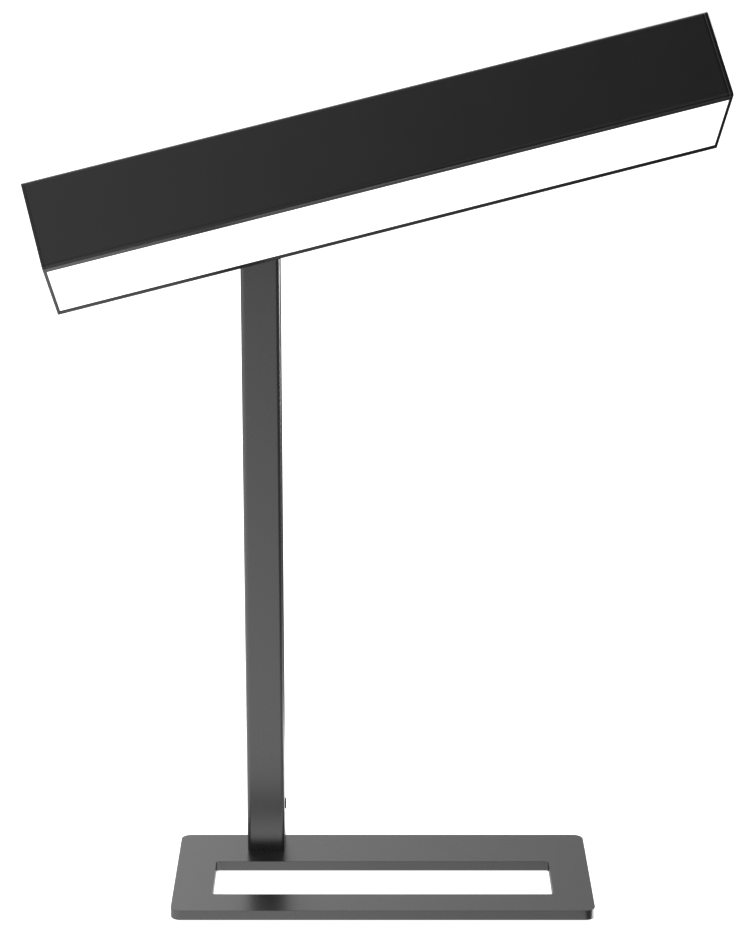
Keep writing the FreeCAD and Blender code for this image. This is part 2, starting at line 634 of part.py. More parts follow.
def makeLightEngine():
    plate = piece("heat_plate", headPlace)
    add(plate, "XY_Plane", "heat_plate_level", "heat_plate_thick",
        Block(headMiddle, depthMiddle, shellLength + " - 2 * sheet_gap", innerDepth + " - 2 * sheet_gap"))
    notchDepth = "(driver_rear - 2 * head_wall)"
    cut(plate, "XY_Plane", "heat_plate_level", "heat_plate_thick",
        Block("0", "-head_wall - sheet_gap - " + notchDepth + " / 2", "lead_notch", notchDepth))
    cut(plate, "XY_Plane", "heat_plate_level", "heat_plate_thick",
        *[Round(x, y, "driver_screw_radius + screw_gap") for x, y in driverCorners()])

    # The tray is a folded white channel: a rim on each ledge, leaning walls and a floor against
    # the heat plate, with a window for each light board.
    tray = piece("reflector_tray", headPlace)
    floorTop = "heat_plate_level"
    rim = ledgeTop + " + tray_sheet"
    front = "(head_wall - head_depth + sheet_gap)"
    rear = "(-head_wall - sheet_gap)"
    footFront = "(head_wall - head_depth + ledge_width)"
    footRear = "(-head_wall - ledge_width)"
    topFront = "(-head_depth + tray_floor_inset)"
    topRear = "(-tray_floor_inset)"
    trayLeft = shellLeft + " + sheet_gap"
    trayLength = shellLength + " - 2 * sheet_gap"
    add(tray, "YZ_Plane", trayLeft, trayLength,
        Outline((front, ledgeTop), (rear, ledgeTop), (rear, rim), (footRear, rim), (topRear, floorTop),
                (topFront, floorTop), (footFront, rim), (front, rim)))
    cut(tray, "YZ_Plane", trayLeft + " + tray_sheet", trayLength + " - 2 * tray_sheet",
        Outline((footFront + " + tray_lean", ledgeTop), (footRear + " - tray_lean", ledgeTop),
                (footRear + " - tray_lean", rim), (topRear + " - tray_lean", floorTop + " - tray_sheet"),
                (topFront + " + tray_lean", floorTop + " - tray_sheet"), (footFront + " + tray_lean", rim)))
    cut(tray, "XY_Plane", floorTop + " - tray_sheet", "tray_sheet",
        *[Block(x, y, "led_board_length + 2 * window_gap", "led_board_width + 2 * window_gap")
          for x, y in ledBoardPlaces()])

    boards = piece("led_boards", headPlace)
    add(boards, "XY_Plane", "heat_plate_level - led_board_thick", "led_board_thick",
        *[Block(x, y, "led_board_length", "led_board_width") for x, y in ledBoardPlaces()])
    chips = piece("led_chips", headPlace)
    chipPlaces = [(x + " + (" + str(i) + ") * led_pitch", y)
                  for x, y in ledBoardPlaces() for i in (-2, -1, 0, 1, 2)]
    add(chips, "XY_Plane", "heat_plate_level - led_board_thick - led_thick", "led_thick",
        *[Block(x, y, "led_size", "led_size") for x, y in chipPlaces])


def driverCorners():
    columns = ["driver_left + driver_inset", "driver_left + driver_length - driver_inset"]
    rows = ["-driver_rear - driver_inset", "-driver_rear - driver_width + driver_inset"]
    return [(x, y) for x in columns for y in rows]


def makeDriver():
    board = piece("driver_board", headPlace)
    middleX = "driver_left + driver_length / 2"
    middleY = "-driver_rear - driver_width / 2"
    add(board, "XY_Plane", boardLow, "driver_thick",
        Block(middleX, middleY, "driver_length", "driver_width"),
        *[Round(x, y, "driver_screw_radius + driver_hole_gap") for x, y in driverCorners()])
    spacers = piece("driver_standoffs", headPlace)
    screws = piece("driver_screws", headPlace)
    for x, y in driverCorners():
        add(spacers, "XY_Plane", plateTopLevel, "standoff_height",
            Round(x, y, "standoff_radius"), Round(x, y, "driver_screw_radius + screw_gap"))
    add(screws, "XY_Plane", boardTop, "driver_screw_head_height",
        *[Round(x, y, "driver_screw_head") for x, y in driverCorners()])
    reach = "(heat_plate_thick + standoff_height + driver_thick + driver_screw_head_height / 2)"
    add(screws, "XY_Plane", "heat_plate_level", reach,
        *[Round(x, y, "driver_screw_radius") for x, y in driverCorners()])

    coil = piece("driver_coil", headPlace)
    add(coil, "XY_Plane", boardTop, "coil_height", Round(middleX, middleY, "coil_radius"))
    capacitors = piece("driver_capacitors", headPlace)
    firstX = "driver_left + driver_length - driver_width / 2"
    add(capacitors, "XY_Plane", boardTop, "capacitor_height",
        *[Round(firstX, middleY + " + (" + str(i) + ") * capacitor_pitch", "capacitor_radius")
          for i in (-1, 0, 1)])
    connector = piece("driver_connector", headPlace)
    connectorY = "-driver_rear - connector_width / 2"
    add(connector, "XY_Plane", boardTop, "connector_height",
        Block("0", connectorY, "connector_length", "connector_width"))

    # The lead leaves the hollow spindle, rises through the heat plate's notch and ends in the
    # connector. It lies in one plane.
    lead = piece("head_lead", headPlace)
    sketch = lead.newObject("Sketcher::SketchObject", "head_lead_route")
    support = [item for item in lead.Origin.OriginFeatures if item.Role == "YZ_Plane"][0]
    sketch.AttachmentSupport = [(support, "")]
    sketch.MapMode = "FlatFace"
    startY = number("head_offset - lead_start")
    riseY = -number("head_wall + swivel_plate_thick + inner_washer_thick + spring_washer_thick "
                    "+ swivel_nut_height + spindle_tail + 2 * lead_radius")
    levelZ = number(boardTop + " + connector_height / 2")
    endY = -number("driver_rear")
    bend = number("lead_bend")
    vector = FreeCAD.Vector
    up = vector(0, 0, 1)
    sketch.addGeometry(Part.LineSegment(vector(startY, 0, 0), vector(riseY + bend, 0, 0)))
    firstBend = Part.Circle(vector(riseY + bend, bend, 0), up, bend)
    sketch.addGeometry(Part.ArcOfCircle(firstBend, math.pi, 1.5 * math.pi))
    sketch.addGeometry(Part.LineSegment(vector(riseY, bend, 0), vector(riseY, levelZ - bend, 0)))
    lastBend = Part.Circle(vector(riseY - bend, levelZ - bend, 0), up, bend)
    sketch.addGeometry(Part.ArcOfCircle(lastBend, 0, 0.5 * math.pi))
    sketch.addGeometry(Part.LineSegment(vector(riseY - bend, levelZ, 0), vector(endY, levelZ, 0)))
    section = drawOn(lead, "XZ_Plane", str(-startY), [Round("0", "0", "lead_radius")])
    pipe = lead.newObject("PartDesign::AdditivePipe", "head_lead_pipe")
    pipe.Profile = section
    pipe.Spine = (sketch, ["Edge" + str(i) for i in range(1, 6)])
    lead.Tip = pipe


# Pieces behind the column's right wall, told from the wall inwards.
def makeSwitch():
    level = "(" + plateTop + " + button_height)"
    flangeOut = "(" + rightInner + " - face_gap)"
    flangeIn = "(" + flangeOut + " - button_flange_thick)"
    bossIn = "(" + flangeIn + " - button_boss_length)"
    switchOut = "(" + bossIn + " - button_travel - switch_clear)"
    boardOut = "(" + switchOut + " - switch_depth)"
    button = piece("power_button")
    capFace = "(" + rightFace + " + button_stand)"
    capPad = add(button, "YZ_Plane", flangeOut, capFace + " - " + flangeOut,
                 Round("column_y", level, "button_radius"))
    doc.recompute()
    rimEdge = [i for i, edge in enumerate(capPad.Shape.Edges, start=1)
               if abs(edge.BoundBox.XMin - number(capFace)) < 0.001]
    rounding = button.newObject("PartDesign::Fillet", "power_button_round")
    rounding.Base = (capPad, ["Edge" + str(i) for i in rimEdge])
    rounding.setExpression("Radius", linked("button_round"))
    button.Tip = rounding
    add(button, "YZ_Plane", flangeIn, "button_flange_thick", Round("column_y", level, "button_flange"))
    add(button, "YZ_Plane", bossIn, "button_boss_length", Round("column_y", level, "button_boss"))
    plunger = piece("switch_plunger")
    add(plunger, "YZ_Plane", bossIn + " - plunger_length", "plunger_length",
        Round("column_y", level, "plunger_radius"))
    body = piece("switch_body")
    add(body, "YZ_Plane", boardOut, "switch_depth", Block("column_y", level, "switch_size", "switch_size"))
    well = "(plunger_length - switch_clear + plunger_gap)"
    cut(body, "YZ_Plane", switchOut + " - " + well, well,
        Round("column_y", level, "plunger_radius + plunger_gap"))

    board = piece("control_board")
    boardIn = "(" + boardOut + " - control_board_thick)"
    boardMiddle = "(" + plateTop + " + control_board_low + control_board_height / 2)"
    add(board, "YZ_Plane", boardIn, "control_board_thick",
        Block("column_y", boardMiddle, "control_board_width", "control_board_height"))
    chip = piece("indicator_led")
    lensLevel = "(" + level + " - lens_drop)"
    add(chip, "YZ_Plane", boardOut, "chip_thick", Block("column_y", lensLevel, "chip_width", "chip_width"))
    lens = piece("indicator_lens")
    lensIn = "(" + boardOut + " + chip_thick)"
    add(lens, "YZ_Plane", lensIn, rightFace + " + lens_stand - " + lensIn,
        Round("column_y", lensLevel, "lens_radius"))

    carrier = piece("board_carrier")
    carrierLeft = "(column_x - column_size / 2 + column_wall + plug_gap)"
    carrierDepth = "(" + boardIn + " - " + carrierLeft + ")"
    add(carrier, "YZ_Plane", carrierLeft, carrierDepth,
        Block("column_y", boardMiddle, "control_board_width", "carrier_height"))
    cut(carrier, "YZ_Plane", carrierLeft + " + carrier_wall", carrierDepth + " - carrier_wall",
        Block("column_y", boardMiddle, "control_board_width - 2 * carrier_wall",
              "carrier_height - 2 * carrier_wall"))


def makeInlet():
    level = "(" + plateTop + " + inlet_height)"
    inlet = piece("power_inlet")
    add(inlet, "XZ_Plane", "-" + rearFace, "inlet_depth", Round("column_x", level, "inlet_radius"))
    add(inlet, "XZ_Plane", "-" + rearFace + " - inlet_flange_thick", "inlet_flange_thick",
        Round("column_x", level, "inlet_flange"))
    cut(inlet, "XZ_Plane", "-" + rearFace + " - inlet_flange_thick", "inlet_bore_depth",
        Round("column_x", level, "inlet_bore"))
    add(inlet, "XZ_Plane", "-" + rearFace, "inlet_depth", Round("column_x", level, "inlet_pin"))
    lugMiddle = "(" + rearFace + " - inlet_depth - lug_length / 2)"
    add(inlet, "XY_Plane", level + " - lug_size / 2", "lug_size",
        Block("column_x", lugMiddle, "lug_size", "lug_length"))
    nut = piece("inlet_nut")
    add(nut, "XZ_Plane", "-" + rearInner, "inlet_nut_height",
        Hexagon("column_x", level, "inlet_nut_radius"), Round("column_x", level, "inlet_radius + screw_gap"))

    carrierMiddle = "(" + plateTop + " + control_board_low + control_board_height / 2)"
    carrierTop = "(" + carrierMiddle + " + carrier_height / 2)"
    short = piece("inlet_lead")
    add(short, "XY_Plane", carrierTop, level + " - lug_size / 2 - " + carrierTop,
        Round("column_x", lugMiddle, "thin_lead"))
    tall = piece("column_lead")
    add(tall, "XY_Plane", carrierTop, columnTop + " + yoke_shoulder - " + carrierTop,
        Round("column_x", "column_y - cable_bore + column_lead + plug_gap", "column_lead"))


makeBase()
makeColumn()
makeTiltJoint()
makeSwivelStack()
makeHeadCase()
makeLightEngine()
makeDriver()
makeSwitch()
makeInlet()
doc.recompute()

for item in doc.Objects:
    if "Invalid" in item.State or "Error" in item.State:
        raise RuntimeError(item.Label + " failed: " + str(item.State))
os.makedirs("parts", exist_ok=True)
for node in nodes:
    if node.Shape.isNull() or not node.Shape.isValid() or not node.Shape.Solids:
        raise RuntimeError(node.Label + " has no valid solid")
for node in nodes:
    node.Shape.exportStep("parts/" + node.Label + ".step")
    box = node.Shape.BoundBox
    print(node.Label, len(node.Shape.Solids), round(node.Shape.Volume, 1),
          [round(v, 2) for v in (box.XMin, box.XMax, box.YMin, box.YMax, box.ZMin, box.ZMax)])
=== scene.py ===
# Light therapy lamp: a slotted base, a square column with a power button on its right side, and a
# long light head that tilts and swivels behind its rear wall.
import json
import math

import bmesh
import bpy
import numpy as np
from mathutils import Matrix, Vector

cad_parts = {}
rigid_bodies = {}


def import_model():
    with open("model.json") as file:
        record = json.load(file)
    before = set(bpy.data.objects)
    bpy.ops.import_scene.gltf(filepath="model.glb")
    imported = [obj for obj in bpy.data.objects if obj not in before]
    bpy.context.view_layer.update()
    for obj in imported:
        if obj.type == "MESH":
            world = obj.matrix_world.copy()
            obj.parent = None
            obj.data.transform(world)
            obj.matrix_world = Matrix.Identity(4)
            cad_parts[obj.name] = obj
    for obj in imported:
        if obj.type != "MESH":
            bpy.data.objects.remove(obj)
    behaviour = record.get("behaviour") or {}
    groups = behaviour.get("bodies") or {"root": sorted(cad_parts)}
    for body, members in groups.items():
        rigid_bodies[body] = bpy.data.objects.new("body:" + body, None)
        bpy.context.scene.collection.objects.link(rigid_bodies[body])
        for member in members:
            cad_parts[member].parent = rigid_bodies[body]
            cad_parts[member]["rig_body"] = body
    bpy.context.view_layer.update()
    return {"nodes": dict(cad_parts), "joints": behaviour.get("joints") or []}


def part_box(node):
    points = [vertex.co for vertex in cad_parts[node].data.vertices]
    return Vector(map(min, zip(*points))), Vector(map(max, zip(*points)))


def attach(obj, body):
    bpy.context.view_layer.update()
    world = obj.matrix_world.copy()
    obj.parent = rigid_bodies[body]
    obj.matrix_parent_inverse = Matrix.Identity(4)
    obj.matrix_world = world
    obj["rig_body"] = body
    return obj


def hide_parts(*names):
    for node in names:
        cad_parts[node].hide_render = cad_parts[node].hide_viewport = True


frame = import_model()
nodes = frame["nodes"]
joints = {joint["name"]: joint for joint in frame["joints"]}
mm = 0.001
print("frame loaded:", len(nodes), "nodes")


# Shader maths

# One value in a material's tree. Python's operators on it add Math nodes.
class Value:
    def __init__(self, socket):
        self.socket = socket
        self.tree = socket.id_data

    def combine(self, operation, first, second):
        node = self.tree.nodes.new("ShaderNodeMath")
        node.operation = operation
        for place, item in enumerate((first, second)):
            if isinstance(item, Value):
                self.tree.links.new(item.socket, node.inputs[place])
            else:
                node.inputs[place].default_value = item
        return Value(node.outputs[0])

    def __add__(self, other):
        return self.combine("ADD", self, other)

    def __radd__(self, other):
        return self.combine("ADD", other, self)

    def __sub__(self, other):
        return self.combine("SUBTRACT", self, other)

    def __rsub__(self, other):
        return self.combine("SUBTRACT", other, self)

    def __mul__(self, other):
        return self.combine("MULTIPLY", self, other)

    def __rmul__(self, other):
        return self.combine("MULTIPLY", other, self)


# A node tree being built: a material's, or the world's.
class Tree:
    def __init__(self, owner):
        owner.use_nodes = True
        self.tree = owner.node_tree

    # Adds a node: its settings first, then the values or links of its sockets.
    def node(self, kind, settings=None, values=None, output=0):
        made = self.tree.nodes.new("ShaderNode" + kind)
        for name, setting in (settings or {}).items():
            setattr(made, name, setting)
        for name, item in (values or {}).items():
            self.feed(made.inputs[name], item)
        return Value(made.outputs[output])

    def feed(self, socket, item):
        if isinstance(item, Value):
            self.tree.links.new(item.socket, socket)
        else:
            socket.default_value = item

    # Smooth change from 0 to 1 as a value goes from start to end.
    def ease(self, value, start, end):
        return self.node("MapRange", {"interpolation_type": "SMOOTHSTEP"},
                         {"Value": value, "From Min": start, "From Max": end})

    # Number that goes from first to last as a factor goes from 0 to 1.
    def span(self, factor, first, last):
        return factor * (last - first) + first

    # Mix of two colours by a factor.
    def blend(self, factor, first, second):
        return self.node("Mix", {"data_type": "RGBA"}, {0: factor, 6: first, 7: second}, 2)

    # Colour of one level in all three channels, the red one shifted by a share of it.
    def greyOf(self, level, redShift=1.0):
        red = level * redShift if redShift != 1.0 else level
        return self.node("CombineColor", values={"Red": red, "Green": level, "Blue": level})


# Places

# The head's own frame: X along it, Y towards its rear wall, Z towards its top.
rollAtRest = 15.0
swivelAxis = Vector(joints["head_swivel"]["axis"]).normalized()
tiltAxis = Vector(joints["head_tilt"]["axis"]).normalized()
swivelPoint = Vector(joints["head_swivel"]["pos_m"])
tiltPoint = Vector(joints["head_tilt"]["pos_m"])
headRear = -swivelAxis
headAlong = Matrix.Rotation(-math.radians(rollAtRest), 4, headRear) @ tiltAxis
headUp = headAlong.cross(headRear)


# A frame is its three axes and its origin.
headFrame = np.array([list(headAlong), list(headRear), list(headUp)]), np.array(swivelPoint)


# Points told in a frame, put in the lamp's frame: the frame's axes weighted by the coordinates.
def placed(points, place):
    axes, origin = place
    return np.asarray(points) @ axes + origin


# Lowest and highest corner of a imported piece, told in a frame.
def boxIn(node, place):
    axes, origin = place
    vertices = nodes[node].data.vertices
    flat = np.zeros(len(vertices) * 3)
    vertices.foreach_get("co", flat)
    local = (flat.reshape(-1, 3) - origin) @ axes.T
    return local.min(0), local.max(0)


# Materials

def grey(level, warm=0.0):
    return (level * (1 + warm), level, level * (1 - warm), 1)


# A material on one Principled shader: constants on its sockets, and the rest from nodes.
class Finish(Tree):
    def __init__(self, name, **constants):
        self.material = bpy.data.materials.new(name)
        super().__init__(self.material)
        self.shader = self.tree.nodes["Principled BSDF"]
        for socket, item in constants.items():
            self.shader.inputs[socket.replace("_", " ")].default_value = item
        self.place = self.node("TexCoord", output=3)

    # Distance of a surface point along an axis from a place, both told in the lamp's frame.
    def along(self, axis, start):
        reach = self.node("VectorMath", {"operation": "DOT_PRODUCT"}, {0: self.place, 1: axis}, 1)
        return reach - axis.dot(start)

    def noise(self, scale, detail=2.0, stretch=(1, 1, 1)):
        place = self.node("Mapping", values={"Vector": self.place, "Scale": stretch})
        return self.node("TexNoise", values={"Vector": place, "Scale": scale, "Detail": detail})

    def set(self, socket, item):
        self.feed(self.shader.inputs[socket], item)

    def bump(self, height, strength, distance):
        self.set("Normal", self.node("Bump", values={"Height": height, "Strength": strength,
                                                     "Distance": distance}))


# What the coated metal looks like. Scales are waves per metre.
coating = {
    "tone": 0.17,
    "redShift": 1.01,
    "toneSpread": 0.010,
    "metallic": 0.96,
    "roughness": 0.285,
    "roughnessSpread": 0.07,
    "roughnessDrift": 0.05,
    "grainScale": 2600.0,
    "grainDetail": 3.0,
    "cloudScale": 34.0,
    "grainStrength": 0.35,
    "grainHeight": 0.000012,
}


# Satin anodised metal: a dark tone that drifts slowly, and a fine even grain in tone, gloss and
# height.
def coatedMetal(name, tone, roughness, grain, metallic=coating["metallic"], shade=None):
    finish = Finish(name, Metallic=metallic)
    fine = finish.noise(coating["grainScale"], coating["grainDetail"])
    cloud = finish.noise(coating["cloudScale"])
    drift = (cloud - 0.5) * coating["toneSpread"] + (fine - 0.5) * coating["toneSpread"] * grain
    level = drift + tone
    # A given shade multiplies the tone by painted shade and painted highlight.
    if shade:
        level = level * shade(finish)
    finish.set("Base Color", finish.greyOf(level, coating["redShift"]))
    finish.set("Roughness", (fine - 0.5) * coating["roughnessSpread"]
               + (cloud - 0.5) * coating["roughnessDrift"] + roughness)
    finish.bump(fine, coating["grainStrength"] * grain, coating["grainHeight"])
    return finish.material


# Where the painted shade and painted highlight on the shell change: heights over its lower face,
# distances behind its front wall, and distances past its right end, and the share of the coat's
# tone there.
shellPaintedShadeZones = {
    "wallEnd": 1.5 * mm,
    "turnEnd": 0.1 * mm,
    "lipStart": 2.4 * mm,
    "lipEnd": 4.2 * mm,
    "turnShade": 0.32,
    "lipShade": 0.26,
    "endStart": -2.3 * mm,
    "endFull": -1.5 * mm,
    "endShade": 0.6,
    "lineStart": -0.95 * mm,
    "lineFull": -0.7 * mm,
    "lineFade": -0.35 * mm,
    "lineEnd": -0.1 * mm,
    "lineHighlight": 4.0,
}


# Painted shade on the shell: its tone is darker where the front rolls under and on the lips than on
# the walls, and at the right end cap a painted highlight line lies between two painted dark bands.
def shellPaintedShade(finish):
    low, high = boxIn("head_shell", headFrame)
    across = finish.along(headRear, swivelPoint) - low[1]
    up = finish.along(headUp, swivelPoint) - low[2]
    under = finish.ease(up, shellPaintedShadeZones["wallEnd"], shellPaintedShadeZones["turnEnd"])
    lip = finish.ease(across, shellPaintedShadeZones["lipStart"], shellPaintedShadeZones["lipEnd"])
    turn = finish.span(under, 1.0, finish.span(lip, shellPaintedShadeZones["turnShade"], shellPaintedShadeZones["lipShade"]))
    past = finish.along(headAlong, swivelPoint) - high[0]
    end = finish.ease(past, shellPaintedShadeZones["endStart"], shellPaintedShadeZones["endFull"])
    line = (finish.ease(past, shellPaintedShadeZones["lineStart"], shellPaintedShadeZones["lineFull"])
            * finish.ease(past, shellPaintedShadeZones["lineEnd"], shellPaintedShadeZones["lineFade"]))
    # Painted shade at the rolled front and lips, a painted dark band at the right end, and a
    # painted highlight line.
    return (turn * finish.span(end, 1.0, shellPaintedShadeZones["endShade"])
            * finish.span(line, 1.0, shellPaintedShadeZones["lineHighlight"]))


# A colour with its three channels taken up or down by one share, at most to full.
def shaded(colour, share):
    return tuple(min(1, channel * share) for channel in colour[:3]) + (1,)


metalMarks = {"detail": 3.0, "stretch": (1, 1, 6), "contrast": 0.5, "darkest": 0.8,
              "roughnessSpread": 0.16, "strength": 0.25, "height": 0.00001}


# Bare or plated metal with turning marks.
def plainMetal(name, colour, roughness, scale=900.0):
    finish = Finish(name, Metallic=1.0)
    marks = finish.noise(scale, metalMarks["detail"], metalMarks["stretch"])
    finish.set("Base Color", finish.blend((marks - 0.5) * metalMarks["contrast"] + 0.5, colour,
                                          shaded(colour, metalMarks["darkest"])))
    finish.set("Roughness", (marks - 0.5) * metalMarks["roughnessSpread"] + roughness)
    finish.bump(marks, metalMarks["strength"], metalMarks["height"])
    return finish.material


moulding = {"detail": 4.0, "cloudScale": 60.0, "fineContrast": 0.6, "cloudContrast": 0.5,
            "darkest": 0.86, "roughnessSpread": 0.12, "strength": 0.4}


# Moulded plastic, rubber or lacquer: a fine texture over a plain colour.
def plastic(name, colour, roughness, scale=1800.0, height=0.00001, **constants):
    finish = Finish(name, **constants)
    texture = finish.noise(scale, moulding["detail"])
    cloud = finish.noise(moulding["cloudScale"])
    mottle = (texture - 0.5) * moulding["fineContrast"] + (cloud - 0.5) * moulding["cloudContrast"]
    finish.set("Base Color", finish.blend(mottle + 0.5, colour,
                                          shaded(colour, moulding["darkest"])))
    finish.set("Roughness", (texture - 0.5) * moulding["roughnessSpread"] + roughness)
    finish.bump(texture, moulding["strength"], height)
    return finish.material


boardTracks = {"roughness": 0.4, "scale": 120.0, "distortion": 3.0, "edge": (0.55, 0.7),
               "brighter": 1.6, "strength": 0.3, "height": 0.00003}


# Circuit board: lacquer over faint tracks that run slantwise over it.
def circuitBoard(name, colour):
    finish = Finish(name, Roughness=boardTracks["roughness"])
    tracks = finish.node("TexWave", {"wave_type": "BANDS", "bands_direction": "DIAGONAL"},
                         {"Vector": finish.place, "Scale": boardTracks["scale"],
                          "Distortion": boardTracks["distortion"]})
    lines = finish.ease(tracks, *boardTracks["edge"])
    finish.set("Base Color", finish.blend(lines, colour, shaded(colour, boardTracks["brighter"])))
    finish.bump(lines, boardTracks["strength"], boardTracks["height"])
    return finish.material


lightFace = {
    "strength": 1.12,
    "body": 0.9,
    "roughness": 0.42,
    "cloudScale": 9.0,
    "cloudSpread": 0.02,
    "edge": 0.04,
    "inFromWall": 7.1 * mm,
    "fade": 0.9 * mm,
    "endFade": 0.7 * mm,
}


# Opal acrylic lit from behind: even white light that fades over its last millimetre, at the lips
# and at the end caps: a painted shade that darkens both its glow and its own white.
def opalSheet():
    finish = Finish("opalAcrylic", Roughness=lightFace["roughness"])
    cloud = finish.noise(lightFace["cloudScale"], 1.0)
    low, high = boxIn("diffuser", headFrame)
    shellLow, shellHigh = boxIn("head_shell", headFrame)
    across = finish.along(headRear, swivelPoint)
    along = finish.along(headAlong, swivelPoint)
    front = shellLow[1] + lightFace["inFromWall"]
    rear = shellHigh[1] - lightFace["inFromWall"]
    lit = finish.ease(across, front, front + lightFace["fade"])
    lit = lit * finish.ease(across, rear, rear - lightFace["fade"])
    lit = lit * finish.ease(along, low[0], low[0] + lightFace["endFade"])
    lit = lit * finish.ease(along, high[0], high[0] - lightFace["endFade"])
    cloudy = (cloud - 0.5) * lightFace["cloudSpread"] + 1.0
    # Painted shade at the edges, in the sheet's own white as well as in its glow.
    level = cloudy * finish.span(lit, lightFace["edge"], 1.0)
    finish.set("Base Color", finish.greyOf(level * lightFace["body"]))
    finish.set("Emission Color", finish.greyOf(level))
    finish.shader.inputs["Emission Strength"].default_value = lightFace["strength"]
    return finish.material


def makeMaterials():
    made = {
        "stand": coatedMetal("standMetal", coating["tone"], coating["roughness"], 1.0),
        # The head's tone carries the shell's painted shade and painted highlight line.
        "head": coatedMetal("headMetal", coating["tone"], coating["roughness"] + 0.03, 1.6,
                            shade=shellPaintedShade),
        "joint": coatedMetal("jointMetal", 0.055, 0.33, 1.8, 0.9),
        "blackSteel": plainMetal("blackSteel", grey(0.06), 0.34),
        "zinc": plainMetal("zincSteel", grey(0.6, 0.01), 0.3),
        "aluminium": plainMetal("bareAluminium", grey(0.7), 0.38, 500.0),
        "brass": plainMetal("turnedBrass", (0.66, 0.46, 0.18, 1), 0.3),
        "copper": plainMetal("coilCopper", (0.62, 0.27, 0.13, 1), 0.35, 2600.0),
        "rubber": plastic("padRubber", grey(0.022), 0.8, 2400.0, 0.00004),
        "blackPlastic": plastic("blackPlastic", grey(0.02), 0.5),
        "button": plastic("buttonLacquer", grey(0.012), 0.09, 500.0, 0.000002, Coat_Weight=1.0,
                          Coat_Roughness=0.03),
        "lens": plastic("lightPipe", grey(0.3), 0.22, 700.0, 0.000004, IOR=1.49),
        "whitePlastic": plastic("whitePlastic", grey(0.8), 0.45),
        "sleeve": plastic("leadSleeve", grey(0.02), 0.55, 900.0, 0.00003),
        "green": circuitBoard("driverLacquer", (0.012, 0.11, 0.045, 1)),
        "whiteBoard": circuitBoard("lightBoardLacquer", grey(0.6)),
        "phosphor": plastic("phosphor", (0.85, 0.7, 0.18, 1), 0.35),
        "opal": opalSheet(),
    }
    print("materials made:", len(made))
    return made


finishes = makeMaterials()

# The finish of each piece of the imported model
finishOfNode = {
    "stand": ["base_plate", "column"],
    "head": ["head_shell", "end_cap_left", "end_cap_right"],
    "joint": ["yoke", "knuckle"],
    "blackSteel": ["column_screws", "tilt_pin", "tilt_nut", "end_cap_screws",
                   "swivel_plate_rivets"],
    "zinc": ["base_screws", "inlet_nut", "swivel_spindle", "swivel_spring_washer", "swivel_nut",
             "swivel_plate", "driver_screws"],
    "aluminium": ["column_foot_block", "heat_plate"],
    "brass": ["driver_standoffs"],
    "copper": ["driver_coil"],
    "rubber": ["foot_pads"],
    "blackPlastic": ["switch_body", "board_carrier", "power_inlet", "driver_capacitors"],
    "button": ["power_button"],
    "lens": ["indicator_lens"],
    "whitePlastic": ["tilt_washers", "swivel_outer_washer", "swivel_inner_washer", "reflector_tray",
                     "driver_connector", "switch_plunger"],
    "sleeve": ["inlet_lead", "column_lead", "head_lead"],
    "green": ["control_board", "driver_board"],
    "whiteBoard": ["led_boards"],
    "phosphor": ["indicator_led", "led_chips"],
    "opal": ["diffuser"],
}
finishName = {}
for finish, members in finishOfNode.items():
    for member in members:
        nodes[member].data.materials.clear()
        nodes[member].data.materials.append(finishes[finish])
        finishName[member] = finish


# Meshes

# Mesh of a grid of points: rows are rings or stations, columns go round or across them. Rows that
# end in a ring may be closed with one face.
def gridMesh(name, points, closeRows=False, capFirst=False, capLast=False):
    rows, columns = points.shape[:2]
    index = np.arange(rows * columns).reshape(rows, columns)
    after = np.roll(index, -1, axis=1)
    low, high = (index, after) if closeRows else (index[:, :-1], index[:, 1:])
    quads = np.stack([low[:-1], high[:-1], high[1:], low[1:]], axis=-1).reshape(-1, 4)
    faces = quads.tolist()
    if capFirst:
        faces.append(index[0][::-1].tolist())
    if capLast:
        faces.append(index[-1].tolist())
    mesh = bpy.data.meshes.new(name)
    mesh.from_pydata(points.reshape(-1, 3).tolist(), [], faces)
    return mesh


# Joins meshes into one.
def joined(name, meshes):
    whole = bmesh.new()
    for mesh in meshes:
        whole.from_mesh(mesh)
    mesh = bpy.data.meshes.new(name)
    whole.to_mesh(mesh)
    whole.free()
    return mesh


# Distances in metres, angles in degrees
joining = {"ownMesh": 1e-7, "packedMesh": 1e-6, "flatWithin": 0.6, "sharpFrom": 32.0}


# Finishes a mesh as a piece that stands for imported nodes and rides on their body.
def piece(name, mesh, material, body, replaced, sharp=joining["sharpFrom"], keepNormals=False):
    work = bmesh.new()
    work.from_mesh(mesh)
    bmesh.ops.remove_doubles(work, verts=work.verts, dist=joining["ownMesh"])
    if not keepNormals:
        bmesh.ops.recalc_face_normals(work, faces=work.faces)
    work.to_mesh(mesh)
    work.free()
    mesh.polygons.foreach_set("use_smooth", [True] * len(mesh.polygons))
    mesh.set_sharp_from_angle(angle=math.radians(sharp))
    made = bpy.data.objects.new(name, mesh)
    bpy.context.scene.collection.objects.link(made)
    mesh.materials.clear()
    mesh.materials.append(finishes[material])
    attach(made, body)
    if replaced:
        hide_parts(*replaced)
    return made


# Keeps the large faces of a piece flat in its shading, and leaves the turn to its rounded edges.
def flatFaces(made):
    weighted = made.modifiers.new("flat faces", "WEIGHTED_NORMAL")
    weighted.keep_sharp = True


